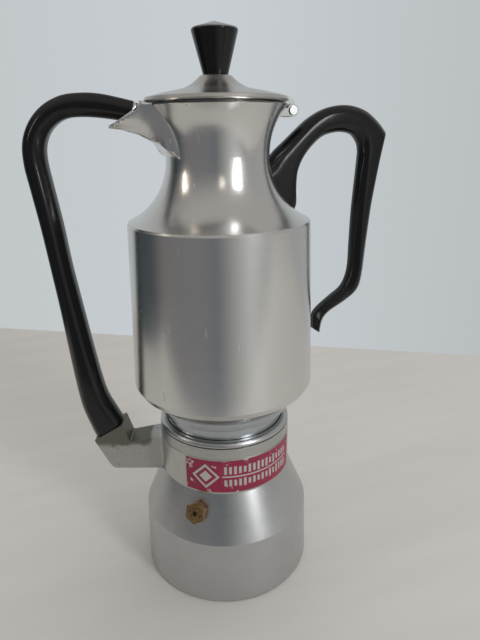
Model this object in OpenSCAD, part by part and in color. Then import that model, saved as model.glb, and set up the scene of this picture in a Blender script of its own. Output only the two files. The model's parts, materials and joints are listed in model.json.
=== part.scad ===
// Stacked moka pot: a pressure boiler with a long handle, and a double-walled
// serving jug with its own handle, spout and hinged lid, which screws into the
// boiler's neck. Millimetres, +Z up, origin at the centre of the base. The jug's
// spout, hinge and handle lie in the XZ plane: spout at -X, handle at +X.

/* [Boiler] */
// Radius of the base
base_r = 45; // [40:1:54]
// Height of the straight base wall
base_h = 35; // [29:1:45]
// How much the base wall leans in from bottom to top
base_draft = 1; // [0:0.1:2]
// Height of the sloping part above the base wall
cone_h = 23.5; // [18:0.5:30]
// Thickness of the boiler's wall
boiler_wall = 2.5; // [1.8:0.1:3]
// Height of the collar around the neck
collar_h = 25.5; // [22:0.5:31]
// Outer radius of the collar
collar_r = 34; // [28:0.5:41]
// Thickness of the cast ring on the neck
ring_t = 1.8; // [1:0.1:2.4]
// Height of the rolled lip over the ring
lip_h = 3; // [2:0.1:3.5]
// Depth of the jug's thread inside the neck
thread_depth = 15.5; // [12.5:0.5:19]
// Clearance between the two threads, on the radius
thread_gap = 0.4; // [0.3:0.05:0.5]

/* [Safety valve] */
// Direction of the valve from +X, seen from above
valve_az = 229; // [200:1:250]
// Height of the valve up the slope, from the top of the base wall
valve_up = 14.8; // [10:0.1:17]
// Width of the hexagon across its flats
hex_af = 9.6; // [8:0.1:11]
// Length of the hexagon
hex_h = 4; // [3:0.1:6]
// Radius of the threaded shank
shank_r = 3.6; // [3.2:0.1:4]
// Length of the shank inside the boiler's wall
shank_in = 7; // [5:0.1:9]
// Travel of the plunger
valve_travel = 1; // [0.6:0.1:1.2]

/* [Funnel and seal] */
// Width of the ledge in the neck that the coffee cup hangs on
ledge_w = 4.8; // [4:0.1:7]
// Depth of the coffee cup
cup_depth = 17; // [12:0.5:20]
// Radius of the funnel's stem
stem_r = 4.5; // [3.5:0.1:6]
// Gap under the stem
stem_clear = 5; // [3:0.5:8]
// Thickness of the sheet of the funnel
sheet = 1; // [0.8:0.1:1.2]
// Thickness of the gasket
gasket_t = 3; // [2:0.1:3.5]
// Radius of the holes of the sieves
sieve_hole_r = 0.9; // [0.6:0.1:1]

/* [Jug] */
// Height of the spigot that shows between the collar and the body
spigot_show = 6.5; // [4:0.5:9]
// How far the foot band stands out over the spigot
foot_step = 4.1; // [3:0.1:4.5]
// Height of the foot band
foot_h = 4; // [3:0.5:6]
// Radius of the body at its lower edge
body_low_r = 45.2; // [43:0.1:55]
// Radius of the body at its shoulder
body_top_r = 42.7; // [40:0.1:48]
// Height of the body from its lower edge to the shoulder
body_h = 80.5; // [66:0.5:97]
// Height of the bevel under the body
bevel_h = 10.5; // [8:0.5:13]
// Height of the seam below the shoulder
seam_down = 16; // [12:0.5:22]
// Radius of the neck at its waist
waist_r = 23.4; // [20:0.1:27]
// Height of the waist above the shoulder
waist_up = 28.4; // [25:0.1:32]
// Radius of the mouth
mouth_r = 31.2; // [29:0.1:38]
// Height of the mouth above the shoulder
mouth_up = 49.2; // [46:0.1:60]
// Thickness of the outer shells
shell_wall = 1.4; // [1.2:0.1:1.6]
// Air gap between the outer shell and the liner
air_gap = 3; // [2:0.1:4]
// Radius of the riser column
column_r = 5; // [4:0.1:6]

/* [Spout] */
// Reach of the spout's tip beyond the mouth
spout_out = 16.3; // [13:0.1:20]
// Half width of the spout where it leaves the neck
spout_half = 9.5; // [7:0.1:10]
// Half width of the spout's tip
tip_half = 1.9; // [1.6:0.1:2.6]
// Thickness of the spout's sheet
spout_wall = 1.2; // [1:0.1:1.4]

/* [Lid] */
// How far the lid's rim overhangs the mouth
lid_over = 0.4; // [0:0.1:0.8]
// Height of the lid's dome
dome_h = 9.6; // [7:0.1:13]
// Height of the knob
knob_h = 17.5; // [14:0.5:22]
// Radius of the knob at its foot
knob_low_r = 5.4; // [4.8:0.1:6.5]
// Radius of the knob at its top
knob_top_r = 10.1; // [8:0.1:12]
// Distance of the hinge pin beyond the mouth
hinge_out = 4; // [3.8:0.1:5]
// Radius of the hinge barrel
barrel_r = 2.8; // [2.4:0.1:3]
// Radius of the hinge pin
hinge_pin_r = 1.2; // [1:0.1:1.4]

/* [Handles] */
// Direction of the boiler's handle from +X, seen from above
handle_az = 160; // [150:1:164]
// Thickness of the boiler's handle
handle_t = 13; // [11:0.5:14]
// Thickness of that handle at its free end
handle_end_t = 7.6; // [6:0.1:9]
// Thickness of the cast bracket
bracket_t = 13.6; // [11:0.1:15]
// Thickness of the jug's handle
jug_handle_t = 10.6; // [9:0.1:13]
// Radius of the cross pin in the boiler's handle
cross_pin_r = 1.6; // [1.2:0.1:2]
// Radius of the screws of the jug's handle
screw_r = 1.6; // [1.2:0.1:2]

/* [Hidden] */
$fn = 96;
TINY = 0.01;
CUT = 1;                    // how far a cut runs past the face it opens
SEAT = 0.1;                 // gap between flat faces that meet and part again
FREE = 0.3;                 // gap between bodies that move on each other
RUN = 0.06;                 // radial clearance of a pin in its hole
SIEVE_RINGS = 5;

// Heights of the boiler
base_top_r = base_r - base_draft;
cone_top = base_h + cone_h;
neck_r = collar_r - ring_t;
neck_wall = 1.4;
bore_r = neck_r - neck_wall;
ring_top = cone_top + collar_h;
boiler_top = ring_top + lip_h;
ledge_z = boiler_top - thread_depth - gasket_t - 3;
ledge_drop = 5;
flange_t = 1.5;
cup_bore_r = bore_r - ledge_w;
cup_out = cup_bore_r - 0.5;
cup_r = cup_out - sheet;

// Heights of the jug
spigot_r = bore_r - thread_gap;
foot_r = spigot_r + foot_step;
seal_z = ledge_z + flange_t + SEAT;
plate_t = 0.8;
base_z = seal_z + gasket_t + plate_t + FREE;
foot_z = boiler_top + spigot_show;
bevel_z = foot_z + foot_h;
body_z = bevel_z + bevel_h;
shoulder_z = body_z + body_h;
seam_z = shoulder_z - seam_down;
seam_r = body_low_r + (body_top_r - body_low_r) * (seam_z - body_z) / body_h;
waist_z = shoulder_z + waist_up;
mouth_z = shoulder_z + mouth_up;
mouth_lip = 0.6;

// Rounded corners: each point is [x, y, radius], and the outline is closed.
function unit(v) = v / norm(v);
function corner(a, b, c) =
    let (u = unit([a.x - b.x, a.y - b.y]), w = unit([c.x - b.x, c.y - b.y]),
         half = acos(max(-1, min(1, u * w))) / 2,
         reach = b.z / tan(half),
         centre = [b.x, b.y] + unit(u + w) * b.z / sin(half),
         p = [b.x, b.y] + u * reach - centre,
         q = [b.x, b.y] + w * reach - centre,
         from = atan2(p.y, p.x),
         turn = atan2(p.x * q.y - p.y * q.x, p * q),
         steps = max(2, ceil(abs(turn) / 7)))
    b.z == 0 ? [[b.x, b.y]]
             : [for (i = [0 : steps]) centre + b.z * [cos(from + turn * i / steps),
                                                       sin(from + turn * i / steps)]];
function rounded(points) =
    let (n = len(points))
    [for (i = [0 : n - 1])
        each corner(points[(i + n - 1) % n], points[i], points[(i + 1) % n])];
function lerp(a, b, t) = a + (b - a) * t;

// A flat outline in the XZ plane, as a plate that straddles Y = 0
module upright(thickness) {
    rotate([90, 0, 0]) translate([0, 0, -thickness / 2]) linear_extrude(thickness) children();
}

module ring(r_out, r_in, z, h) {
    translate([0, 0, z]) difference() {
        cylinder(r = r_out, h = h);
        translate([0, 0, -CUT]) cylinder(r = r_in, h = h + 2 * CUT);
    }
}

// Holes in rings round the axis, more in each ring further out
module sieve_holes(rings, pitch, z, h) {
    for (k = [1 : rings], i = [0 : 6 * k - 1])
        rotate(60 / k * i) translate([k * pitch, 0, z]) cylinder(r = sieve_hole_r, h = h, $fn = 16);
}

// ---------- Boiler ----------
base_round = 1.5;
edge_round = 3;
base_inner_r = base_top_r - boiler_wall;
cone_run = base_top_r - collar_r;

module boiler_shell() {
    color("silver") difference() {
        boiler_solid();
        at_valve() translate([0, 0, -shank_in]) cylinder(r = shank_r, h = shank_in + valve_face);
    }
}

module boiler_solid() {
    rotate_extrude() difference() {
        polygon(concat([[0, 0]],
            rounded_open([[base_r - 3, 0, 0], [base_r, 0, base_round],
                          [base_top_r, base_h, edge_round], [collar_r, cone_top, 0]]),
            [[neck_r, cone_top], [neck_r, ring_top], [collar_r - 1.2, ring_top]],
            rounded_open([[collar_r - 1.2, ring_top, 0], [collar_r - 0.1, ring_top, 1],
                          [collar_r - 0.1, boiler_top, 2], [bore_r, boiler_top, 0]]),
            [[0, boiler_top]]));
        polygon(concat([[0, boiler_wall]],
            rounded_open([[base_inner_r - 8, boiler_wall, 0], [base_inner_r, boiler_wall, 3],
                          [base_inner_r, base_h - 1, 4],
                          [cup_bore_r, ledge_z - ledge_drop, 0]]),
            [[cup_bore_r, ledge_z], [bore_r, ledge_z],
             [bore_r, boiler_top + CUT], [0, boiler_top + CUT]]));
    }
}

function rounded_open(points) =
    let (n = len(points))
    [for (i = [0 : n - 1])
        each (i == 0 || i == n - 1) ? [[points[i].x, points[i].y]]
                                    : corner(points[i - 1], points[i], points[i + 1])];

// ---------- Bracket and long handle, drawn in the plane of the handle ----------
// The plane's first axis runs out from the pot's axis, its second is height.
arm_low = cone_top - 3;
arm_high = cone_top + 17.3;
arm_end = collar_r + 16.5;
leg_low = [collar_r + 28.6, arm_low + 3.4];
joint_out = [collar_r + 35.2, arm_high - 2.2];
joint_in = [collar_r + 19.8, arm_high + 6.8];
leg_dir = unit([7.3, 23]);
tang_w = 7;
tang_t = 6;
tang_len = 22;
tang_gap = 0.15;
joint_mid = (joint_out + joint_in) / 2;
pin_at = joint_mid + leg_dir * 13;
pin_len = handle_t - 3;              // moulded in, so its ends don't show

module in_handle_plane() {
    rotate(handle_az) children();
}

module tang(extra) {
    side = [-leg_dir.y, leg_dir.x] * (tang_w / 2 + extra);
    foot = joint_mid - leg_dir * 4;
    tip = joint_mid + leg_dir * (tang_len + extra);
    upright(tang_t + 2 * extra) polygon([foot - side, tip - side, tip + side, foot + side]);
}

module cross_pin_shape() {
    translate([pin_at.x, 0, pin_at.y]) rotate([90, 0, 0])
        cylinder(r = cross_pin_r, h = pin_len, center = true);
}

module collar_bracket() {
    color("gainsboro") difference() {
        union() {
            difference() {
                union() {
                    ring(collar_r, neck_r, cone_top, collar_h);
                    in_handle_plane() upright(bracket_t) polygon(rounded([
                        [collar_r - 3, arm_low, 0], [leg_low.x - 2.2, arm_low + 0.8, 3],
                        [leg_low.x, leg_low.y + 1, 3], [joint_out.x, joint_out.y, 0.5],
                        [joint_in.x, joint_in.y, 0.5], [arm_end, arm_high - 3.6, 1],
                        [collar_r - 3, arm_high, 0]]));
                }
                translate([0, 0, cone_top]) cylinder(r = neck_r, h = collar_h + CUT);
                cone_keepout();
            }
            in_handle_plane() tang(0);
        }
        in_handle_plane() cross_pin_shape();
    }
}

// The slope of the boiler, as a solid, to fit the foot of the arm on it
module cone_keepout() {
    translate([0, 0, base_h]) cylinder(r1 = base_top_r, r2 = collar_r, h = cone_h);
}

handle_top = mouth_z + 6;
handle_far = collar_r + 56.4;
handle_tip = mouth_r + 4.4;          // where its free end stops, beside the spout
arm_run = handle_far - handle_tip;
slim_to = handle_tip + 0.23 * arm_run;    // seen from above, the arm is slim up to here
full_from = handle_tip + 0.63 * arm_run;  // and has its full thickness from here
plan_low = handle_top - 30;
module boiler_handle_outline() {
    polygon(rounded([
        [joint_out.x, joint_out.y, 0.6],
        [joint_out.x + 6.8, joint_out.y + 21.4, 20],
        [joint_out.x + 12, joint_out.y + 86.2, 150],
        [handle_far, handle_top - 0.6, 27],
        [handle_tip + 0.3 * arm_run, handle_top + 0.2, 14],
        [handle_tip, handle_top - 3.4, 2],
        [handle_tip + 0.4, handle_top - 13, 2],
        [handle_tip + 0.335 * arm_run, handle_top - 10, 14],
        [handle_far - 11.2, handle_top - 9.2, 16],
        [joint_in.x + 17.8, joint_in.y + 83.2, 120],
        [joint_in.x + 8.8, joint_in.y + 17.8, 16],
        [joint_in.x, joint_in.y, 0.6]]));
}

// Seen from above, the upper arm narrows towards its free end
module handle_plan() {
    half = [[handle_tip - 2, handle_end_t / 2], [slim_to, handle_end_t / 2],
            [full_from, handle_t / 2], [handle_far + 5, handle_t / 2]];
    polygon(concat([for (i = [0 : 3]) [half[i].x, -half[i].y]], [for (i = [3 : -1 : 0]) half[i]]));
}

module boiler_handle() {
    color([0.05, 0.05, 0.06]) in_handle_plane() difference() {
        intersection() {
            upright(handle_t) boiler_handle_outline();
            union() {
                linear_extrude(plan_low) square([3 * handle_far, handle_t], center = true);
                translate([0, 0, plan_low]) linear_extrude(40) handle_plan();
            }
        }
        tang(tang_gap);
        cross_pin_shape();
    }
}

module handle_pin() {
    color("gray") in_handle_plane() cross_pin_shape();
}

// ---------- Label on the collar ----------
foil_t = 0.2;
print_t = 0.1;
label_low = cone_top + 1.2;
label_h = 18;
foil_from = 186;
foil_sweep = 142;
print_from = 216;
print_sweep = 106;

module band(r_in, thickness, z, h, from, sweep) {
    rotate(from) rotate_extrude(angle = sweep) translate([r_in, z]) square([thickness, h]);
}

module foil_band() {
    color("lightgray") band(collar_r, foil_t, label_low - 0.6, label_h + 1.2, foil_from, foil_sweep);
}

module label_print() {
    color("crimson")
        band(collar_r + foil_t, print_t, label_low, label_h, print_from, print_sweep);
}

// ---------- Safety valve, drawn along its own axis from the boiler's face ----------
valve_lean = atan2(cone_run, cone_h);
washer_t = 0.8;
cap_t = 1.4;
valve_face = washer_t + hex_h;
chamber_r = 2.4;
seat_w = -shank_in + 1.5;
head_t = 1.4;
rod_r = 1.15;
rod_top = valve_face - valve_travel - 0.1;    // it lifts to just under the hexagon's face
wire_r = 0.3;
spring_turns = 6;

module at_valve() {
    rotate(valve_az)
        translate([base_top_r - cone_run * valve_up / cone_h, 0, base_h + valve_up])
            rotate([0, 90 - valve_lean, 0]) children();
}

module valve_body() {
    color("peru") at_valve() difference() {
        union() {
            translate([0, 0, washer_t]) cylinder(d = hex_af / cos(30), h = hex_h, $fn = 6);
            translate([0, 0, -shank_in]) cylinder(r = shank_r, h = shank_in + washer_t);
        }
        translate([0, 0, seat_w]) cylinder(r = chamber_r, h = valve_face - cap_t - seat_w);
        translate([0, 0, valve_face - cap_t - TINY])
            cylinder(r = chamber_r + 0.7, h = cap_t + CUT);
        translate([0, 0, -shank_in - CUT]) cylinder(r = 1.2, h = shank_in);
    }
}

module valve_washer() {
    color("brown") at_valve() ring(hex_af / 2 - 0.2, shank_r, 0.02, washer_t - 0.02);
}

module valve_cap() {
    color("goldenrod") at_valve() ring(chamber_r + 0.7, rod_r + RUN, valve_face - cap_t, cap_t);
}

module valve_plunger() {
    color("gray") at_valve() {
        translate([0, 0, seat_w + SEAT]) cylinder(r = chamber_r - 0.1, h = head_t);
        translate([0, 0, seat_w + SEAT]) cylinder(r = rod_r, h = rod_top - seat_w - SEAT);
    }
}

spring_r = chamber_r - wire_r - 0.15;
spring_low = seat_w + SEAT + head_t + wire_r + 0.02;
spring_high = valve_face - cap_t - wire_r - 0.02;

// One open helix of round wire, swept as a tube
module valve_spring() {
    steps = 14 * spring_turns;
    sides = 8;
    points = [for (i = [0 : steps], j = [0 : sides - 1])
        let (a = 360 * spring_turns * i / steps, b = 360 * j / sides,
             r = spring_r + wire_r * cos(b))
        [r * cos(a), r * sin(a),
         lerp(spring_low, spring_high, i / steps) + wire_r * sin(b)]];
    walls = [for (i = [0 : steps - 1], j = [0 : sides - 1])
        let (k = (j + 1) % sides)
        [i * sides + j, (i + 1) * sides + j, (i + 1) * sides + k, i * sides + k]];
    color("gray") at_valve() polyhedron(points,
        concat([[for (j = [0 : sides - 1]) j]], walls,
               [[for (j = [sides - 1 : -1 : 0]) steps * sides + j]]));
}

// ---------- Funnel, strainer, gasket and filter plate ----------
flange_r = bore_r - FREE;
cup_floor = ledge_z + flange_t - cup_depth;
stem_top = cup_floor - 8;
stem_low = boiler_wall + stem_clear;

module funnel() {
    color("silver") rotate_extrude() polygon([
        [stem_r - sheet, stem_low], [stem_r, stem_low], [stem_r, stem_top],
        [cup_out, cup_floor], [cup_out, ledge_z + SEAT], [flange_r, ledge_z + SEAT],
        [flange_r, ledge_z + flange_t], [cup_r, ledge_z + flange_t], [cup_r, cup_floor + 0.6],
        [cup_r - 1.6, cup_floor + 0.6], [stem_r - sheet, stem_top + 0.6]]);
}

module funnel_strainer() {
    color("lightgray") difference() {
        translate([0, 0, cup_floor + 0.6]) cylinder(r = cup_r - 0.05, h = 0.8);
        sieve_holes(SIEVE_RINGS, (cup_r - 4.5) / SIEVE_RINGS, cup_floor - 1, 4);
    }
}

gasket_in = spigot_r - 8.4;
module gasket() {
    color("ivory") ring(spigot_r - 0.2, gasket_in, seal_z, gasket_t);
}

module filter_plate() {
    color("lightgray") difference() {
        translate([0, 0, seal_z + gasket_t]) cylinder(r = spigot_r - 0.2, h = plate_t);
        sieve_holes(SIEVE_RINGS, (gasket_in - 3) / SIEVE_RINGS, seal_z, 8);
    }
}

// ---------- Jug: base, shells, liner and riser ----------
passage_r = column_r - 1.2;
collect_r = gasket_in + 3.5;
column_seat = foot_z + 1.5;
floor_z = bevel_z + 1.6;

module jug_base() {
    color("silver") rotate_extrude() difference() {
        polygon(concat([[0, base_z], [spigot_r - 0.6, base_z], [spigot_r, base_z + 0.6],
                        [spigot_r, foot_z]],
            rounded_open([[spigot_r, foot_z, 0], [foot_r - 1, foot_z, 0.8],
                          [foot_r, bevel_z - 1, 0.6], [foot_r, bevel_z, 0]]),
            [[foot_r, floor_z], [0, floor_z]]));
        polygon([[0, base_z - CUT], [collect_r, base_z - CUT], [collect_r, foot_z - 5],
                 [passage_r + 2, foot_z], [passage_r, foot_z], [passage_r, column_seat],
                 [column_r, column_seat], [column_r, floor_z + CUT], [0, floor_z + CUT]]);
    }
}

function low_outline(inset) = [
    [foot_r - inset * 0.4, bevel_z + inset], [body_low_r - 1.7 - inset * 0.8, body_z - 2.5 + inset * 0.3],
    [body_low_r - inset, body_z + 0.6], [seam_r - inset, seam_z]];

module lower_shell() {
    outer = low_outline(0);
    inner = low_outline(shell_wall);
    color("silver") rotate_extrude() difference() {
        polygon([[foot_r - 6, bevel_z], outer[0], outer[1], outer[2], outer[3], [foot_r - 6, seam_z]]);
        polygon([[0, bevel_z - CUT], [foot_r, bevel_z - CUT], [foot_r, floor_z], inner[0] + [0, 0.2],
                 inner[1], inner[2], inner[3], [inner[3].x, seam_z + CUT], [0, seam_z + CUT]]);
    }
}

// Shoulder and neck: one arc from the shoulder in to the waist, one out to the mouth.
// A larger inset gives the same form further in.
function arc_radius(dx, dz) = (dx * dx + dz * dz) / (2 * dx);
edge_in = 0.6;
dish_r = arc_radius(body_top_r - edge_in - waist_r, waist_up);
flare_r = arc_radius(mouth_r - waist_r, mouth_up - waist_up);

module neck_arc(radius, inset, low, high) {
    intersection() {
        translate([waist_r + radius, waist_z]) circle(r = radius + inset);
        translate([0, low]) square([2 * body_low_r, high - low]);
    }
}

module neck_profile(inset, top) {
    difference() {
        polygon([[0, seam_z], [seam_r - inset, seam_z], [body_top_r - inset, shoulder_z - 1],
                 [body_top_r - edge_in - inset, shoulder_z],
                 [body_top_r - edge_in - inset, top], [0, top]]);
        neck_arc(dish_r, inset, seam_z, waist_z);
        neck_arc(flare_r, inset, waist_z, top + CUT);
    }
}

module upper_solid() {
    rotate_extrude() neck_profile(0, mouth_z);
    translate([0, 0, mouth_z - 0.3]) cylinder(r = mouth_r + 0.2, h = 20);
}

module upper_shell() {
    color("silver") difference() {
        rotate_extrude() difference() {
            union() {
                neck_profile(0, mouth_z);
                polygon([[0, mouth_z - 0.5], [mouth_r - 1, mouth_z - 0.5], [mouth_r + 0.1, mouth_z + 0.3],
                         [mouth_r - 0.4, mouth_z + mouth_lip], [0, mouth_z + mouth_lip]]);
            }
            neck_profile(shell_wall, mouth_z + 3);
            translate([0, seam_z - CUT]) square([seam_r - shell_wall, CUT + TINY]);
            translate([0, mouth_z]) square([mouth_r - shell_wall, 3]);
        }
        spout_block(spout_wall, 3);
        screw_holes();
    }
}

seam_ring_h = 8;
module seam_ring() {
    color("gray") ring(body_top_r - shell_wall - 0.35, body_top_r - shell_wall - 1.5,
                       seam_z - seam_ring_h / 2, seam_ring_h);
}

liner_low = floor_z + 4;
liner_top = waist_z - 10.5;
liner_neck_r = waist_r - shell_wall - 0.4;
liner_wall = 1;
liner_r = body_top_r - shell_wall - air_gap;
liner_shoulder = shoulder_z - 6;
liner_neck_z = shoulder_z + 8;

module inner_liner() {
    color("silver") rotate_extrude() difference() {
        polygon(rounded([[0, liner_low, 0], [liner_r, liner_low, 8],
            [liner_r, liner_shoulder, 8], [liner_neck_r, liner_neck_z, 6],
            [liner_neck_r, liner_top, 0], [0, liner_top, 0]]));
        polygon(rounded([[0, liner_low + liner_wall, 0],
            [liner_r - liner_wall, liner_low + liner_wall, 7],
            [liner_r - liner_wall, liner_shoulder - 0.4, 7],
            [liner_neck_r - liner_wall, liner_neck_z - 0.4, 7],
            [liner_neck_r - liner_wall, liner_top + CUT, 0], [0, liner_top + CUT, 0]]));
        square([column_r, liner_low + 3]);
    }
}

module liner_spacer() {
    color("dimgray") ring(foot_r - 8, column_r + 4, floor_z, liner_low - floor_z);
}

column_top = shoulder_z - 4;
module riser_column() {
    color("silver") difference() {
        union() {
            translate([0, 0, column_seat]) cylinder(r = column_r, h = column_top - column_seat);
            translate([0, 0, liner_low + liner_wall]) cylinder(r = column_r + 3, h = 2.5);
        }
        translate([0, 0, foot_z - CUT]) cylinder(r = passage_r, h = column_top - foot_z + 2 * CUT);
    }
}

cap_h = 9;
module column_cap() {
    color("lightgray") difference() {
        union() {
            translate([0, 0, column_top - 4]) cylinder(r = column_r + 1.2, h = cap_h - 1);
            translate([0, 0, column_top - 5 + cap_h]) cylinder(r1 = column_r + 1.2, r2 = 2.5, h = 3);
        }
        translate([0, 0, column_top - 4 - CUT]) cylinder(r = column_r, h = 4 + CUT);
        translate([0, 0, column_top - CUT]) cylinder(r = passage_r, h = cap_h - 5.5 + CUT);
        for (a = [0, 90]) rotate(a) translate([0, 0, column_top + 1.8]) rotate([90, 0, 0])
            cylinder(r = 1.4, h = 4 * column_r, center = true, $fn = 24);
    }
}

// ---------- Spout ----------
// Side and plan outlines; the inset makes the channel from the same outlines.
spout_reach = mouth_r + spout_out;
function spout_side(inset, rise) = [
    [-waist_r + 3, waist_z - 1 + inset * 2.4], [-waist_r - 0.4, waist_z + 1 + inset * 1.8],
    [-waist_r - 4.2, mouth_z - 15.3 + inset * 1.5], [-mouth_r - 3.7, mouth_z - 11.6 + inset * 1.2],
    [-spout_reach + 5.4, mouth_z - 9.4 + inset * 1.1], [-spout_reach, mouth_z - 8.8 + inset * 0.9],
    [-spout_reach + 0.3, mouth_z - 7.8 + rise], [-spout_reach + 3.6, mouth_z - 6.2 + rise],
    [-mouth_r - 5, mouth_z - 1.6 + rise], [-mouth_r - 3.8, mouth_z + 1.7 + rise],
    [-mouth_r - 0.6, mouth_z + 0.7 + rise], [-18, mouth_z + 0.7 + rise]];

module spout_plan(inset) {
    polygon(rounded([
        [-16, -spout_half - 3 + inset, 0], [-26, -spout_half + inset, 8],
        [-spout_reach + inset, -tip_half + inset * 0.6, 0.6],
        [-spout_reach + inset, tip_half - inset * 0.6, 0.6],
        [-26, spout_half - inset, 8], [-16, spout_half + 3 - inset, 0]]));
}

module spout_block(inset, rise) {
    intersection() {
        upright(4 * spout_half) polygon(spout_side(inset, rise));
        translate([0, 0, waist_z - 20]) linear_extrude(mouth_up + 20) spout_plan(inset);
    }
}

module spout() {
    color("silver") difference() {
        spout_block(0, 0);
        spout_block(spout_wall, 3);
        upper_solid();
    }
}

// ---------- Hinge ----------
hinge_x = mouth_r + hinge_out;
pin_z = mouth_z - 1.9;
lug_half = 4.6;
knuckle_half = 2.2;
lug_low = pin_z - barrel_r + 0.3;
lug_pad = mouth_r + 0.6;             // outer face of the pad between the cheeks

module hinge_bore() {
    translate([hinge_x, 0, pin_z]) rotate([90, 0, 0])
        cylinder(r = hinge_pin_r + RUN, h = 4 * lug_half, center = true);
}

module hinge_lug() {
    color("silver") difference() {
        union() {
            for (s = [-1, 1]) translate([0, s * (lug_half + knuckle_half + FREE) / 2, 0])
                upright(lug_half - knuckle_half - FREE) union() {
                    translate([hinge_x, pin_z]) circle(r = barrel_r);
                    polygon([[mouth_r - 6, lug_low], [hinge_x, lug_low],
                             [hinge_x, pin_z + 1], [mouth_r - 6, pin_z + 1]]);
                }
            upright(2 * lug_half) polygon([[mouth_r - 6, lug_low], [lug_pad, lug_low],
                                           [lug_pad, pin_z - 0.5], [mouth_r - 6, pin_z - 0.5]]);
        }
        upper_solid();
        hinge_bore();
    }
}

module hinge_pin() {
    color("gray") translate([hinge_x, 0, pin_z]) rotate([90, 0, 0]) {
        cylinder(r = hinge_pin_r, h = 2 * lug_half + 1.2, center = true);
        for (s = [-1, 1]) translate([0, 0, s * (lug_half + 0.5)])
            cylinder(r = hinge_pin_r + 0.7, h = 0.8, center = true);
    }
}

// ---------- Lid ----------
lid_gap = 0.9;                       // between the mouth's lip and the closed lid
lid_z = mouth_z + mouth_lip + lid_gap;
dome_z = lid_z + dome_h + 1;
lid_r = mouth_r + lid_over;
skirt_r = mouth_r - 6.6;
lid_bend = lid_r - 7.6;
screw_knob_r = 1.5;

function lid_top(inset) = rounded_open([
    [lid_r - inset, lid_z + 0.6, 0], [lid_r - 0.6 - inset, lid_z + 1.9 - inset * 0.5, 0.6],
    [lid_bend, lid_z + 3.6 - inset, 60], [12, lid_z + 5.9 - inset, 16],
    [knob_low_r + 1.4, dome_z - inset, 1], [0, dome_z - inset, 0]]);

module lid() {
    color("silver") difference() {
        rotate_extrude() difference() {
            union() {
                polygon(concat([[0, lid_z - 0.2], [skirt_r, lid_z - 0.2], [lid_r - 0.8, lid_z - 0.1]],
                               lid_top(0)));
                translate([skirt_r - 1, lid_z - 4]) square([1, 6]);
            }
            polygon(concat([[0, lid_z - 5], [skirt_r - 1, lid_z - 5], [skirt_r - 1, lid_z + 1]],
                [[lid_bend - 1.4, lid_z + 2.4], [12, lid_z + 4.6], [knob_low_r + 1, dome_z - 1.3],
                 [0, dome_z - 1.3]]));
        }
        translate([0, 0, dome_z - 5]) cylinder(r = screw_knob_r, h = 10);
    }
}

// A strap from the lid's rim, over the mouth's edge and down to the barrel
module lid_knuckle() {
    color("silver") difference() {
        union() {
            translate([hinge_x, 0, pin_z]) rotate([90, 0, 0])
                cylinder(r = barrel_r, h = 2 * knuckle_half, center = true);
            upright(2 * knuckle_half - 0.4) polygon([
                [lid_r - 2.6, lid_z + 0.8], [lid_r - 2.6, lid_z + 2.7], [hinge_x - 1, lid_z + 2.6],
                [hinge_x + 1.4, lid_z + 1], [hinge_x + barrel_r - 0.3, pin_z + 0.8],
                [hinge_x, pin_z - 1], [hinge_x - barrel_r + 0.3, pin_z + 0.8]]);
        }
        lid_solid();
        hinge_bore();
    }
}

module lid_solid() {
    rotate_extrude() polygon(concat([[0, lid_z - 6], [lid_r - 0.8, lid_z - 6]], lid_top(0)));
}

module knob() {
    color([0.04, 0.04, 0.05]) translate([0, 0, dome_z]) difference() {
        cylinder(r1 = knob_low_r, r2 = knob_top_r, h = knob_h);
        translate([0, 0, -CUT]) cylinder(r = screw_knob_r, h = 11 + CUT);
        translate([0, 0, knob_h - 2]) cylinder(r = 4, h = 3);
    }
}

module knob_cap() {
    color("dimgray") translate([0, 0, dome_z + knob_h]) {
        cylinder(r1 = knob_top_r - 0.2, r2 = knob_top_r - 0.5, h = 0.6);
        translate([0, 0, 0.6]) cylinder(r1 = knob_top_r - 0.5, r2 = 0.6, h = 2.6);
        translate([0, 0, -2]) cylinder(r = 4, h = 2);
    }
}

module knob_washer() {
    color("gray") ring(4.2, screw_knob_r, dome_z - 2, 0.7);
}

module knob_screw() {
    color("gray") {
        translate([0, 0, dome_z - 2]) cylinder(r = screw_knob_r, h = 12);
        translate([0, 0, dome_z - 3.6]) cylinder(r1 = 2.4, r2 = 3, h = 1.6);
    }
}

// ---------- Jug handle ----------
hx = waist_r;
hb = body_low_r;
hz = shoulder_z;
// Each screw: where its axis meets the neck's outer face, and how far it leans up
shoulder_lean = 41;
screws = [[waist_r + 0.4, waist_z - 5.4, 0],
          [waist_r + dish_r * (1 - cos(shoulder_lean)), waist_z - dish_r * sin(shoulder_lean),
           shoulder_lean]];
screw_len = 8.5;

module at_screws() {
    for (s = screws) translate([s.x, 0, s.y]) rotate([0, 90 - s.z, 0]) children();
}

module jug_handle_outline() {
    polygon(rounded([
        [hx - 3, hz + 24.8, 0], [hx + 2.6, hz + 28, 10], [body_top_r + 7.4, hz + 48, 26],
        [hb + 32.4, hz + 49.8, 31], [hb + 43.6, hz + 37.4, 0.8],
        [hb + 37.8, hz + 2, 60], [hb + 34, hz - 44.4, 9], [hb + 10.8, hz - 56, 6],
        [hb + 10.4, hz - 65.8, 0.9], [hb + 6, hz - 62.4, 1], [hb + 6, hz - 53.4, 4],
        [hb + 27.4, hz - 38, 9], [hb + 27.6, hz + 5, 80], [hb + 30, hz + 37.4, 9],
        [body_top_r + 11.6, hz + 37.6, 17], [body_top_r - 3.9, hz + 22, 15],
        [body_top_r - 3, hz + 2.4, 0], [hx, hz + 2.4, 0]]));
}

module screw_holes() {
    at_screws() translate([0, 0, -4]) cylinder(r = screw_r, h = screw_len + 4);
}

module jug_handle() {
    color([0.05, 0.05, 0.06]) difference() {
        upright(jug_handle_t) jug_handle_outline();
        upper_solid();
        screw_holes();
    }
}

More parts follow.
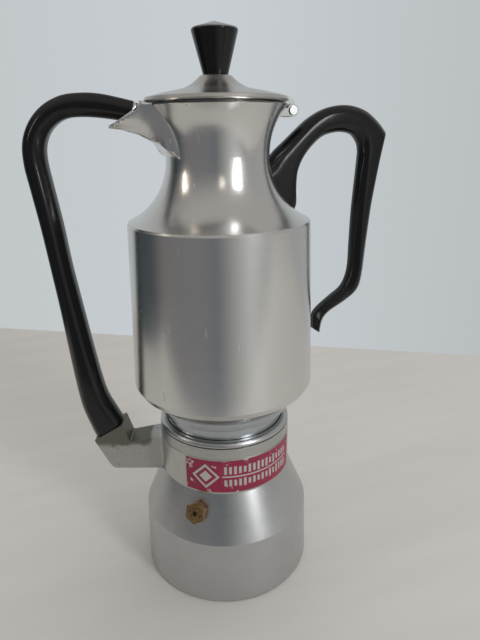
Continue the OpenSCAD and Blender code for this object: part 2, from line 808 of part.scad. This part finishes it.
washer_low = -shell_wall - 1.1;
module handle_screws() {
    color("gray") at_screws() {
        translate([0, 0, washer_low]) cylinder(r = screw_r, h = screw_len - washer_low - 0.2);
        translate([0, 0, washer_low - 1.4]) cylinder(r1 = 2, r2 = 2.8, h = 1.4);
    }
}

module screw_washers() {
    color("gray") at_screws() ring(3.6, screw_r, washer_low, 0.7);
}

boiler_shell();
collar_bracket();
foil_band();
label_print();
valve_body();
valve_washer();
valve_cap();
valve_plunger();
valve_spring();
boiler_handle();
handle_pin();
funnel();
funnel_strainer();
gasket();
filter_plate();
jug_base();
lower_shell();
upper_shell();
seam_ring();
inner_liner();
liner_spacer();
riser_column();
column_cap();
spout();
hinge_lug();
hinge_pin();
jug_handle();
handle_screws();
screw_washers();
lid();
lid_knuckle();
knob();
knob_cap();
knob_screw();
knob_washer();
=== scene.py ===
import json
import math

import bmesh
import bpy
from mathutils import Matrix, Vector


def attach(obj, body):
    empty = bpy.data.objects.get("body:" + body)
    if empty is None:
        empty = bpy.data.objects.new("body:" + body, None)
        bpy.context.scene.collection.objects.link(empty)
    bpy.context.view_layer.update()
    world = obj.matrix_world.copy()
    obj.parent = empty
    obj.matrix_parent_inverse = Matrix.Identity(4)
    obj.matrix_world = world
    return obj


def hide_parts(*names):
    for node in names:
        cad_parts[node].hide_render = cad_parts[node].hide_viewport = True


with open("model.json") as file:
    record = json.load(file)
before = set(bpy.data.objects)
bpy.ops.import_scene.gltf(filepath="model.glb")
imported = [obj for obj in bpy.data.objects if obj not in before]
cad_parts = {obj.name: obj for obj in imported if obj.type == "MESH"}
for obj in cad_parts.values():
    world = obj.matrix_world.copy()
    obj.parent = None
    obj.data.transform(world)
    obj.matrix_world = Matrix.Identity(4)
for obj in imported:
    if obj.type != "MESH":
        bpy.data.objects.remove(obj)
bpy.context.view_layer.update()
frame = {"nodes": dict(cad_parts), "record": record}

nodes = frame["nodes"]
node_body = {node: body for body, members in frame["record"]["behaviour"]["bodies"].items()
             for node in members}

# ---------- Camera ----------
# A phone held a little above the lid, looking down at the pot. It stands to the
# spout's left, so that the spout comes forward and the jug's handle goes away.
CAMERA_AZIMUTH = math.radians(-109)
CAMERA_DISTANCE = 0.2475
CAMERA_HEIGHT = 0.2272
CAMERA_PITCH = math.radians(19.9)
CAMERA_YAW = math.radians(2.1)
CAMERA_ROLL = math.radians(-0.78)
LENS_LONG_SIDE = 522 / 640

turn = Matrix.Rotation(CAMERA_AZIMUTH + math.pi / 2, 3, "Z")
level = turn @ Matrix.Rotation(-CAMERA_YAW, 3, "Z")
aim = level @ Matrix.Rotation(math.pi / 2 - CAMERA_PITCH, 3, "X") @ Matrix.Rotation(CAMERA_ROLL, 3, "Z")
lens = bpy.data.cameras.new("camera")
lens.sensor_width = 36
lens.lens = 36 * LENS_LONG_SIDE
lens.clip_start = 0.01
camera = bpy.data.objects.new("camera", lens)
camera.matrix_world = aim.to_4x4()
camera.location = turn @ Vector((0, -CAMERA_DISTANCE, CAMERA_HEIGHT))
bpy.context.scene.collection.objects.link(camera)
bpy.context.scene.camera = camera


# ---------- Finishes ----------
# Every finish below is a node tree built from Python sums. A Value is one socket that
# can be added, multiplied and compared; a Tree makes nodes; a Finish is one material.
class Value:
    def __init__(self, tree, socket):
        self.tree = tree
        self.socket = socket

    def math(self, operation, *others):
        inputs = dict(enumerate((self,) + others))
        return self.tree.node("ShaderNodeMath", {"operation": operation}, inputs)

    def __add__(self, other):
        return self.math("ADD", other)

    def __sub__(self, other):
        return self.math("SUBTRACT", other)

    def __mul__(self, other):
        return self.math("MULTIPLY", other)

    def __truediv__(self, other):
        return self.math("DIVIDE", other)

    def __rsub__(self, other):
        return self * -1 + other

    __radd__ = __add__
    __rmul__ = __mul__

    def above(self, edge, soft):
        """0 below the edge and 1 above it, with a soft step."""
        return self.tree.node("ShaderNodeMapRange", {"interpolation_type": "SMOOTHSTEP"},
                              {0: self, 1: edge - soft, 2: edge + soft})


class Tree:
    def __init__(self, node_tree):
        self.node_tree = node_tree

    def node(self, kind, settings=None, inputs=None, out=0):
        """The chosen output of a new node. A colour ramp's stops are one of its settings."""
        made = self.node_tree.nodes.new(kind)
        for key, value in (settings or {}).items():
            if key == "stops":
                ramp = made.color_ramp
                while len(ramp.elements) < len(value):
                    ramp.elements.new(0.5)
                for element, (position, colour) in zip(ramp.elements, value):
                    element.position = position
                    element.color = (*colour, 1)
            else:
                setattr(made, key, value)
        for key, value in (inputs or {}).items():
            self.join(value, made.inputs[key])
        return Value(self, made.outputs[out])

    def join(self, value, socket):
        if isinstance(value, Value):
            self.node_tree.links.new(value.socket, socket)
        else:
            socket.default_value = value

    def mix(self, factor, first, second):
        clear = [(*colour, 1) if isinstance(colour, tuple) else colour for colour in (first, second)]
        return self.node("ShaderNodeMix", {"data_type": "RGBA"},
                         {0: factor, 6: clear[0], 7: clear[1]}, out=2)


class Finish(Tree):
    def __init__(self, name, **uniform):
        self.material = bpy.data.materials.new(name)
        self.material.use_nodes = True
        super().__init__(self.material.node_tree)
        self.shader = self.node_tree.nodes["Principled BSDF"]
        for socket, value in uniform.items():
            self.shader.inputs[socket.replace("_", " ")].default_value = value
        self.place = self.node("ShaderNodeTexCoord", out="Object")

    def noise(self, size, detail=3, stretch=(1, 1, 1), roughness=0.5, shift=(0, 0, 0)):
        """Cloudy noise with lumps of about that size, in metres."""
        place = self.node("ShaderNodeMapping", {}, {"Vector": self.place, "Scale": stretch,
                                                    "Location": shift})
        return self.node("ShaderNodeTexNoise", {}, {"Vector": place, "Scale": 1 / size,
                                                    "Detail": detail, "Roughness": roughness})

    def bump(self, height, distance, strength=1.0):
        normal = self.node("ShaderNodeBump", {}, {"Height": height, "Distance": distance,
                                                  "Strength": strength})
        self.join(normal, self.shader.inputs["Normal"])

    def give(self, **varying):
        for socket, value in varying.items():
            self.join(value, self.shader.inputs[socket.replace("_", " ")])
        return self

    def on(self, *pieces):
        for piece in pieces:
            piece.data.materials.clear()
            piece.data.materials.append(self.material)
        return self


# ---------- Table and light ----------
# A pale table stands in a pale room whose near side is dark, which the jug's wall mirrors
# in upright bands. A large soft window lights the pot from the right, and a small one
# and an open door from the left and the front, with more soft light from above.
TABLE_LEFT = 0.40           # from the pot's axis to the table's left edge
TABLE_WIDTH = 2
TABLE_FRONT = 0.24          # from the pot's axis to the table's near edge
TABLE_BACK = 0.303          # from the pot's axis to the table's far edge, along the view
TABLE_SKEW = math.radians(12.8)

table_mesh = bmesh.new()
bmesh.ops.create_grid(table_mesh, x_segments=1, y_segments=1, size=0.5)
bmesh.ops.scale(table_mesh, verts=table_mesh.verts, vec=(TABLE_WIDTH, TABLE_BACK + TABLE_FRONT, 1))
table_centre = (TABLE_WIDTH / 2 - TABLE_LEFT, (TABLE_BACK - TABLE_FRONT) / 2, 0)
bmesh.ops.translate(table_mesh, verts=table_mesh.verts, vec=table_centre)
bmesh.ops.rotate(table_mesh, verts=table_mesh.verts,
                 matrix=turn @ Matrix.Rotation(-TABLE_SKEW, 3, "Z"))
table_data = bpy.data.meshes.new("table")
table_mesh.to_mesh(table_data)
table = bpy.data.objects.new("table", table_data)
bpy.context.scene.collection.objects.link(table)
table_top = Finish("table_top", Roughness=0.6)
grain = table_top.noise(0.02, detail=5, stretch=(0.15, 1, 1))
table_top.give(Base_Color=table_top.mix(grain, (0.69, 0.67, 0.64), (0.78, 0.765, 0.74)))
table_top.bump(grain, 0.0004, 0.2)
table_top.on(table)


def soft_light(name, azimuth, elevation, distance, size, power, colour):
    """A rectangular light aimed at the pot. Azimuth counts from the camera, to its right."""
    bearing = CAMERA_AZIMUTH + math.radians(azimuth)
    rise = math.radians(elevation)
    data = bpy.data.lights.new(name, "AREA")
    data.shape = "RECTANGLE"
    data.size, data.size_y = size
    data.energy = power
    data.color = colour
    lamp = bpy.data.objects.new(name, data)
    away = Vector((math.cos(bearing) * math.cos(rise), math.sin(bearing) * math.cos(rise),
                   math.sin(rise)))
    lamp.location = Vector((0, 0, 0.13)) + away * distance
    lamp.rotation_euler = away.to_track_quat("Z", "Y").to_euler()
    bpy.context.scene.collection.objects.link(lamp)
    return lamp


soft_light("window", 42, 22, 1.5, (0.26, 0.9), 6.5, (0.96, 0.98, 1.0))
soft_light("doorway", 8, 34, 1.4, (0.12, 0.3), 0.25, (1.0, 0.9, 0.78))
soft_light("far_window", -76, 26, 1.5, (0.10, 0.5), 1.4, (1.0, 0.9, 0.76))
overhead = soft_light("ceiling", 150, 74, 1.4, (1.3, 1.3), 4.5, (1.0, 0.99, 0.97))
overhead.visible_glossy = False

world = bpy.data.worlds.new("room")
bpy.context.scene.world = world
world.use_nodes = True
room = Tree(world.node_tree)
sky = room.node_tree.nodes["Background"]
sky.inputs["Strength"].default_value = 1.0
bearing = room.node("ShaderNodeTexCoord", out="Generated")
east, north, rise = (room.node("ShaderNodeSeparateXYZ", {}, {0: bearing}, out=axis)
                     for axis in "XYZ")
# 0 and 1 point behind the pot, 0.5 at the camera, and 0.75 to the camera's right
around = (north.math("ARCTAN2", east) - CAMERA_AZIMUTH) / (2 * math.pi)
around = (around + 0.5).math("FRACT")
walls = room.node("ShaderNodeValToRGB", {"stops": [
    (0.0, (0.57, 0.61, 0.64)), (0.14, (0.50, 0.52, 0.52)), (0.18, (0.05, 0.07, 0.075)),
    (0.25, (0.06, 0.07, 0.08)), (0.30, (0.19, 0.185, 0.185)), (0.44, (0.20, 0.20, 0.21)),
    (0.49, (0.14, 0.16, 0.18)), (0.53, (0.30, 0.30, 0.29)), (0.60, (0.55, 0.56, 0.55)),
    (0.66, (0.36, 0.355, 0.34)), (0.85, (0.42, 0.43, 0.43)), (1.0, (0.57, 0.61, 0.64))]},
    {0: around})
ceiling = rise.above(0.60, 0.35)
under = 1 - rise.above(-0.72, 0.2)
lit = room.mix(ceiling, walls, (0.44, 0.42, 0.40))
lit = room.mix(under, lit, (0.25, 0.24, 0.23))
room.join(lit, sky.inputs["Color"])
bpy.context.scene.view_settings.view_transform = "Standard"


# ---------- Shaping ----------
# Castings, turned parts and mouldings have no knife edges: each is a copy of its
# solid with every hard edge broken, or is built up as a row of cross-sections.
WELD = 1e-6


def finished(mesh, node, *more):
    """The bmesh as a smooth piece that stands for those nodes and moves as the first does."""
    data = bpy.data.meshes.new(node + "_shape")
    mesh.to_mesh(data)
    mesh.free()
    for face in data.polygons:
        face.use_smooth = True
    made = bpy.data.objects.new(node + "_shape", data)
    bpy.context.scene.collection.objects.link(made)
    even = made.modifiers.new("even_shading", "WEIGHTED_NORMAL")
    even.keep_sharp = True
    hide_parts(node, *more)
    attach(made, node_body[node])
    return made


def merged(node):
    """A copy of a node as one welded surface, whose flat faces are each one face."""
    mesh = bmesh.new()
    mesh.from_mesh(nodes[node].data)
    bmesh.ops.remove_doubles(mesh, verts=mesh.verts, dist=WELD)
    bmesh.ops.dissolve_limit(mesh, angle_limit=math.radians(0.5), verts=mesh.verts,
                             edges=mesh.edges)
    return mesh


def softened(node, width, segments=2, hard=35):
    """A copy of a node with its hard edges broken by that width."""
    mesh = merged(node)
    edges = [edge for edge in mesh.edges
             if edge.is_manifold and edge.calc_face_angle(0) > math.radians(hard)]
    bmesh.ops.bevel(mesh, geom=edges, offset=width, offset_type="OFFSET", affect="EDGES",
                    segments=segments, profile=0.5, material=-1, clamp_overlap=True)
    return finished(mesh, node)


def section(half_width, half_depth, chamfer, angle):
    """A point on a softly edged octagon, as two offsets."""
    sharpness = 16
    c, s = math.cos(angle), math.sin(angle)
    flats = (abs(c) / half_width, abs(s) / half_depth,
             (abs(c) + abs(s)) / (half_width + half_depth - chamfer))
    reach = sum(flat ** sharpness for flat in flats) ** (-1 / sharpness)
    return c * reach, s * reach


def along(stations, steps):
    """The stations with smooth steps between them. A station is a flat tuple of numbers."""
    path = []
    for i in range(len(stations) - 1):
        a, b = stations[max(i - 1, 0)], stations[i]
        c, d = stations[i + 1], stations[min(i + 2, len(stations) - 1)]
        for k in range(steps):
            t = k / steps
            path.append(tuple(
                q + 0.5 * t * (r - p + t * (2 * p - 5 * q + 4 * r - s + t * (3 * (q - r) + s - p)))
                for p, q, r, s in zip(a, b, c, d)))
    return path + [stations[-1]]


def moulding(stations, azimuth, chamfer, sides=40, steps=4, end_round=0.0006):
    """A moulded handle. Stations are outer and inner (reach, height) and half thickness, in mm."""
    mesh = bmesh.new()
    outward = Vector((math.cos(azimuth), math.sin(azimuth), 0))
    across = Vector((-math.sin(azimuth), math.cos(azimuth), 0))
    ring = bmesh.ops.create_circle(mesh, segments=sides, radius=1)["verts"]
    ends = []
    for number, (ro, zo, ri, zi, half) in enumerate(along(stations, steps)):
        if number:
            edges = [edge for edge in mesh.edges
                     if edge.verts[0] in ring_set and edge.verts[1] in ring_set]
            grown = bmesh.ops.extrude_edge_only(mesh, edges=edges)["geom"]
            fresh = {item for item in grown if isinstance(item, bmesh.types.BMVert)}
            ring = [next(edge.other_vert(vert) for edge in vert.link_edges
                         if edge.other_vert(vert) in fresh) for vert in ring]
        ring_set = set(ring)
        outer = outward * ro + Vector((0, 0, zo))
        inner = outward * ri + Vector((0, 0, zi))
        width = (outer - inner) / 2
        for k, vert in enumerate(ring):
            x, y = section(width.length, half, chamfer, 2 * math.pi * k / sides)
            vert.co = ((outer + inner) / 2 + width.normalized() * x + across * y) / 1000
    caps = bmesh.ops.holes_fill(mesh, edges=mesh.edges)["faces"]
    rims = {edge for face in caps for edge in face.edges}
    bmesh.ops.bevel(mesh, geom=list(rims), offset=end_round, offset_type="OFFSET", affect="EDGES",
                    segments=2, profile=0.5, material=-1, clamp_overlap=True)
    bmesh.ops.recalc_face_normals(mesh, faces=mesh.faces)
    return mesh


# ---------- Boiler and collar ----------
# The boiler is a thick aluminium casting, turned on the outside and left satin: fine
# rings run round it.
def aluminium(name, bright, dark, roughness, ring_pitch, ring_depth, scratch):
    finish = Finish(name, Metallic=1.0)
    cloud = finish.noise(0.018, detail=4)
    rings = finish.noise(ring_pitch, detail=2, stretch=(0.02, 0.02, 1))
    smears = finish.noise(0.010, detail=3, stretch=(1, 1, 0.25))
    nicks = finish.noise(0.0022, detail=2, stretch=(1, 1, 0.16)).above(0.735, 0.012)
    finish.give(Base_Color=finish.mix(cloud * 0.7 + rings * 0.3, dark, bright),
                Roughness=rings * 0.05 + smears * 0.12 + nicks * 0.2 + (roughness - 0.11))
    finish.bump(rings * ring_depth + nicks * scratch, 0.0001, 0.5)
    return finish


satin = aluminium("satin_aluminium", (0.60, 0.605, 0.60), (0.46, 0.47, 0.475), 0.33, 0.0006, 0.4, 0.6)
satin.on(nodes["boiler_shell"])

# The collar is part of the bracket's casting. Its face is turned, and its arm is
# rough from the mould: pitted, and stained on top where water dries on it.
cast = Finish("cast_aluminium", Metallic=0.9)
lumps = cast.noise(0.0016, detail=4, roughness=0.6)
pits = cast.noise(0.0021, detail=2, shift=(3, 1, 2)).above(0.70, 0.03)
radius = cast.node("ShaderNodeVectorMath", {"operation": "LENGTH"},
                   {0: cast.node("ShaderNodeMapping", {}, {"Vector": cast.place, "Scale": (1, 1, 0)})},
                   out="Value")
arm = radius.above(0.0352, 0.0008)
height = cast.node("ShaderNodeSeparateXYZ", {}, {0: cast.place}, out="Z")
top = height.above(0.0700, 0.0035) * radius.above(0.0395, 0.003)
stain = (cast.noise(0.005, detail=3) * 0.5 + top * 0.5).above(0.52, 0.14) * arm
clean = cast.mix(lumps, (0.40, 0.40, 0.385), (0.55, 0.555, 0.54))
worn = cast.mix(stain * 0.8, clean, (0.115, 0.105, 0.075))
cast.give(Base_Color=cast.mix(pits * arm, worn, (0.10, 0.095, 0.085)),
          Roughness=arm * 0.16 + lumps * 0.14 + 0.26)
cast.bump((lumps * 0.7 - pits) * arm, 0.0003, 0.6)
cast.on(softened("collar_bracket", 0.0007))

# ---------- Label ----------
# A strip of silver foil is glued round the collar, with a band printed on it in dark
# red. The print is a plain ornament, and it has worn off in patches down to the foil.
foil = Finish("foil", Metallic=1.0)
creases = foil.noise(0.004, detail=3)
foil.give(Base_Color=foil.mix(creases, (0.46, 0.45, 0.43), (0.64, 0.63, 0.60)),
          Roughness=creases * 0.2 + 0.26)
foil.bump(creases, 0.0003, 0.5)
foil.on(nodes["foil_band"])

LABEL_START = math.radians(216 - 360)
LABEL_SWEEP = math.radians(106)
LABEL_LOW, LABEL_HEIGHT = 0.0597, 0.018
label = Finish("label_red")
x, y, z = (label.node("ShaderNodeSeparateXYZ", {}, {0: label.place}, out=axis) for axis in "XYZ")
u = (y.math("ARCTAN2", x) - LABEL_START) / LABEL_SWEEP
v = (z - LABEL_LOW) / LABEL_HEIGHT
# two rows of upright dashes of uneven height, with a rule between them
cells = u * 26
beat = label.node("ShaderNodeTexWhiteNoise", {"noise_dimensions": "1D"}, {"W": cells.math("FLOOR")})
dash = (cells.math("FRACT") - 0.5).math("ABSOLUTE")
dashes = 1 - dash.above(0.28, 0.03)
upper = 1 - (v - 0.70).math("ABSOLUTE").above(beat * 0.05 + 0.09, 0.012)
lower = 1 - (v - 0.30).math("ABSOLUTE").above(0.13 - beat * 0.05, 0.012)
rule = 1 - (v - 0.5).math("ABSOLUTE").above(0.022, 0.008)
words = (dashes * (upper + lower)).math("MAXIMUM", rule) * u.above(0.30, 0.004) * (1 - u.above(0.93, 0.004))
# a nest of lozenges to their left
lozenge = (u - 0.17).math("ABSOLUTE") * 7 + (v - 0.5).math("ABSOLUTE") * 2
nest = 1 - lozenge.above(0.78, 0.03) + lozenge.above(0.60, 0.03) - lozenge.above(0.36, 0.03)
rub = label.noise(0.0035, detail=5, roughness=0.62)
edge_rub = (v - 0.5).math("ABSOLUTE") * 0.08 + (1 - u.above(0.05, 0.05)) * 0.05
bare = (rub + edge_rub).above(0.68, 0.02)
printed = (words + nest).math("MINIMUM", 1.0).math("MAXIMUM", bare)
red = label.mix(label.noise(0.008), (0.25, 0.010, 0.045), (0.36, 0.020, 0.070))
label.give(Base_Color=label.mix(printed, red, (0.60, 0.58, 0.57)),
           Metallic=printed * 0.75, Roughness=0.42 - printed * 0.12)
label.bump(printed, 0.0001, -0.3)
label.on(nodes["label_print"])

# ---------- Safety valve ----------
# The valve is a brass hexagon screwed into the boiler's slope over a red fibre
# washer. A spring holds its plunger shut. The plunger is painted near black: painted shade in the valve's
# hollow.
brass = Finish("brass", Metallic=1.0)
tarnish = brass.noise(0.0025, detail=4)
grime = brass.noise(0.0012, detail=3).above(0.55, 0.15)
brass.give(Base_Color=brass.mix(grime * 0.6, brass.mix(tarnish, (0.30, 0.19, 0.09), (0.46, 0.32, 0.15)),
                                (0.10, 0.07, 0.04)),
           Roughness=tarnish * 0.2 + 0.28)
brass.bump(tarnish, 0.0002, 0.4)
brass.on(softened("valve_body", 0.0004), nodes["valve_cap"])

# painted shade: the plunger's near-black colour stands for the shade deep in the valve's hollow
plunger_hole_shade = Finish("plunger_steel_painted_hole_shade", Metallic=1.0, Roughness=0.5)
plunger_hole_shade.give(Base_Color=plunger_hole_shade.mix(plunger_hole_shade.noise(0.0006), (0.05, 0.045, 0.035), (0.12, 0.10, 0.08)))
plunger_hole_shade.on(nodes["valve_plunger"])

fibre = Finish("fibre", Roughness=0.8)
fibre.give(Base_Color=fibre.mix(fibre.noise(0.001), (0.16, 0.03, 0.02), (0.26, 0.06, 0.04)))
fibre.on(nodes["valve_washer"])

steel = Finish("steel", Metallic=1.0)
steel_rings = steel.noise(0.0008, detail=3)
steel.give(Base_Color=steel.mix(steel_rings, (0.40, 0.40, 0.39), (0.58, 0.58, 0.57)),
           Roughness=steel_rings * 0.15 + 0.25)
steel.on(nodes["valve_spring"], nodes["handle_pin"], nodes["hinge_pin"],
         nodes["handle_screws"], nodes["screw_washers"], nodes["knob_screw"], nodes["knob_washer"])

# ---------- Boiler's handle ----------
# A long bakelite moulding, slipped over the arm's tang and pinned. Its flats meet in
# soft ridges, and its upper arm slims down to pass beside the spout.
bakelite = Finish("black_bakelite", IOR=1.5, Specular_IOR_Level=0.34, Coat_Weight=0.1, Coat_Roughness=0.08)
haze = bakelite.noise(0.010, detail=4)
marks = bakelite.noise(0.0016, detail=3, stretch=(1, 1, 0.3)).above(0.70, 0.03)
bakelite.give(Base_Color=bakelite.mix(haze, (0.003, 0.003, 0.004), (0.007, 0.007, 0.008)),
              Roughness=haze * 0.08 + marks * 0.10 + 0.13)
bakelite.bump(marks, 0.0001, 0.1)
HANDLE_AZIMUTH = math.radians(160)
boiler_handle = finished(moulding([
    (69.2, 73.6, 53.8, 82.6, 6.5), (71.6, 81.0, 56.8, 88.6, 6.5), (74.4, 91.0, 60.8, 97.6, 6.5),
    (76.1, 104.0, 63.2, 108.0, 6.5), (77.8, 125.0, 66.2, 128.0, 6.5),
    (79.3, 145.0, 69.0, 148.0, 6.5), (81.2, 165.0, 71.6, 168.0, 6.5),
    (83.2, 185.0, 73.4, 187.0, 6.5), (85.5, 203.0, 75.7, 205.0, 6.5),
    (86.8, 214.0, 76.9, 215.6, 6.5), (86.1, 223.7, 76.4, 221.9, 6.5),
    (82.1, 232.2, 74.1, 227.0, 6.5), (75.5, 238.8, 70.2, 230.9, 6.4),
    (67.0, 242.8, 65.1, 233.3, 5.9), (58.0, 243.8, 58.0, 233.8, 4.9),
    (50.0, 243.3, 49.5, 233.1, 4.1), (42.0, 241.7, 42.0, 231.9, 3.8),
    (35.8, 240.2, 36.2, 230.8, 3.8)], HANDLE_AZIMUTH, 3.6), "boiler_handle")
bakelite.on(boiler_handle)

# ---------- Funnel, gasket and filter plate ----------
# Spun and pressed aluminium sheet, out of sight when the pot is screwed together,
# with a pale rubber gasket between the jug and the funnel's rim.
pressed = aluminium("pressed_aluminium", (0.72, 0.72, 0.71), (0.58, 0.58, 0.57), 0.40, 0.001, 0.3, 0.4)
pressed.on(nodes["funnel"], nodes["funnel_strainer"], nodes["filter_plate"])
rubber = Finish("gasket_rubber", Roughness=0.7)
rubber.give(Base_Color=rubber.mix(rubber.noise(0.004), (0.60, 0.55, 0.42), (0.70, 0.66, 0.54)))
rubber.on(nodes["gasket"])

# ---------- Jug ----------
# Two polished shells of sheet aluminium meet in a faint seam below the shoulder. Years
# of rubbing have left them with soft scratches. The foot and spigot are painted darker and bluer than the
# shells: a painted reflection of the blue-grey room.
polished = aluminium("polished_aluminium", (0.74, 0.735, 0.715), (0.68, 0.675, 0.665), 0.25,
                     0.0012, 0.015, 0.4)
polished.on(nodes["lower_shell"], nodes["upper_shell"])
# painted reflection: the foot's darker, blue-tinted tone stands for the blue-grey room it mirrors
turned = aluminium("turned_aluminium", (0.52, 0.55, 0.57), (0.38, 0.41, 0.44), 0.26, 0.0007, 0.3, 0.3)
turned.on(nodes["jug_base"])
inside = aluminium("inner_aluminium", (0.66, 0.66, 0.64), (0.50, 0.49, 0.46), 0.42, 0.001, 0.2, 0.2)
inside.on(nodes["inner_liner"], nodes["riser_column"], nodes["column_cap"], nodes["seam_ring"])
cork = Finish("cork", Roughness=0.9)
cork.give(Base_Color=cork.mix(cork.noise(0.002), (0.30, 0.19, 0.10), (0.46, 0.31, 0.18)))
cork.on(nodes["liner_spacer"])

# ---------- Spout and hinge lug ----------
# The spout is folded from the same sheet and soldered to the neck. Two small cast
# cheeks opposite it carry the hinge pin.
SPOUT_TIP, SPOUT_ROOT = 47.5, 20.4      # reaches from the pot's axis, in millimetres
KEEL_TIP, KEEL_FALL = 228.9, 13         # the keel's height at the tip, and its fall to the root
BRIM, BRIM_FALL = 238.4, 8.5            # the same for the brim, which falls to the tip
BRIM_BEND = 34                          # the brim is level up to this reach
NECK_REACH, BLEND = 25, 6


def sliced(mesh, start, step, count):
    """Cut right through the mesh with evenly spaced planes that face along the step."""
    for cut in range(count):
        bmesh.ops.bisect_plane(mesh, geom=mesh.verts[:] + mesh.edges[:] + mesh.faces[:], dist=WELD,
                               plane_co=start + step * cut, plane_no=step.normalized())


def clamped(value):
    return min(max(value, 0), 1)


spout_mesh = merged("spout")
sliced(spout_mesh, Vector((0, 0, 0.2165)), Vector((0, 0, 0.0009)), 24)
sliced(spout_mesh, Vector((-0.025, 0, 0)), Vector((-0.0018, 0, 0)), 12)
for vert in spout_mesh.verts:
    # the trough narrows downwards to a rounded keel, except where it meets the neck
    out = -vert.co.x * 1000
    inward = max(SPOUT_TIP - out, 0) / (SPOUT_TIP - SPOUT_ROOT)
    keel = KEEL_TIP - KEEL_FALL * inward ** 2.2
    brim = BRIM - BRIM_FALL * max(out - BRIM_BEND, 0) / 13.2
    share = clamped((vert.co.z * 1000 - keel) / (brim - keel))
    apart = clamped((out - NECK_REACH) / BLEND)
    vert.co.y *= 1 - apart * 0.75 * (1 - share) ** 1.6
polished.on(finished(spout_mesh, "spout"))
hinge_metal = aluminium("hinge_aluminium", (0.36, 0.36, 0.35), (0.24, 0.24, 0.235), 0.42, 0.001, 0.2, 0.3)
hinge_metal.on(softened("hinge_lug", 0.0004))

# ---------- Jug's handle ----------
# A second bakelite moulding, held by two screws from inside the neck. Its foot spreads
# over the neck, it arches over the fingers, and its tail stops clear of the body.
SHOULDER, WAIST, MOUTH = (42.1, 188.5), (23.4, 216.9), (31.2, 237.7)     # radius, height
BODY_RADIUS = 42.7
SUNK = 0.5                  # how far the handle's foot may go into the neck's wall


def neck_radius(height):
    """Outer radius of the shoulder and neck, two arcs that meet at the waist."""
    if height < SHOULDER[1]:
        return BODY_RADIUS
    far = SHOULDER if height < WAIST[1] else MOUTH
    bend, rise = far[0] - WAIST[0], far[1] - WAIST[1]
    arc = (bend * bend + rise * rise) / (2 * bend)
    up = min(height, MOUTH[1]) - WAIST[1]
    return WAIST[0] + arc - math.sqrt(max(arc * arc - up * up, 0))


jug_moulding = moulding([
    (20.4, 211.4, 35.6, 187.6, 5.3), (24.4, 214.8, 39.2, 191.4, 5.3),
    (28.0, 218.6, 39.1, 199.5, 5.3),
    (33.0, 222.6, 39.4, 207.0, 5.3), (39.0, 227.6, 42.0, 213.6, 5.3),
    (45.5, 232.6, 46.4, 219.2, 5.3), (53.0, 236.4, 52.2, 223.9, 5.3),
    (61.0, 238.2, 58.5, 225.8, 5.3), (69.0, 238.0, 64.5, 226.0, 5.3),
    (77.0, 235.5, 70.0, 224.5, 5.3), (84.0, 230.6, 73.6, 220.5, 5.3),
    (87.9, 226.8, 74.6, 216.4, 5.3), (88.6, 225.7, 74.6, 214.5, 5.3),
    (88.2, 223.6, 74.5, 212.0, 5.3), (86.6, 214.0, 74.1, 206.0, 5.3),
    (84.9, 203.0, 73.5, 197.0, 5.3), (83.1, 190.0, 72.9, 186.0, 5.3),
    (81.5, 172.0, 72.7, 170.0, 5.3), (80.0, 153.0, 72.4, 156.5, 5.3),
    (77.4, 145.0, 69.0, 147.8, 5.3), (70.0, 139.6, 62.5, 143.0, 5.3),
    (61.5, 135.3, 55.5, 138.0, 5.3), (57.3, 131.4, 51.9, 134.0, 5.3),
    (55.8, 126.4, 51.3, 129.6, 5.3), (55.5, 123.2, 51.4, 126.0, 5.3)], 0.0, 3.2)
for vert in jug_moulding.verts:
    least = (neck_radius(vert.co.z * 1000) - SUNK) / 1000
    reach = math.hypot(vert.co.x, vert.co.y)
    if reach < least:
        vert.co.x *= least / reach
        vert.co.y *= least / reach
jug_handle = finished(jug_moulding, "jug_handle")
bakelite.on(jug_handle)

# ---------- Lid and knob ----------
# The lid is a shallow spun dome with a turned-down rim, a cast strap at its hinge and a
# bakelite knob screwed on from below, whose top is closed by a grey cone.
spun = aluminium("spun_aluminium", (0.66, 0.65, 0.62), (0.56, 0.55, 0.53), 0.34, 0.001, 0.15, 0.3)
spun.on(nodes["lid"])
hinge_metal.on(softened("lid_knuckle", 0.0004))
bakelite.on(softened("knob", 0.0005, segments=3))
grey = Finish("grey_bakelite", Coat_Weight=0.2)
speckle = grey.noise(0.0008, detail=3)
grey.give(Base_Color=grey.mix(speckle, (0.20, 0.205, 0.20), (0.30, 0.305, 0.30)),
          Roughness=speckle * 0.1 + 0.30)
grey.on(softened("knob_cap", 0.0002))
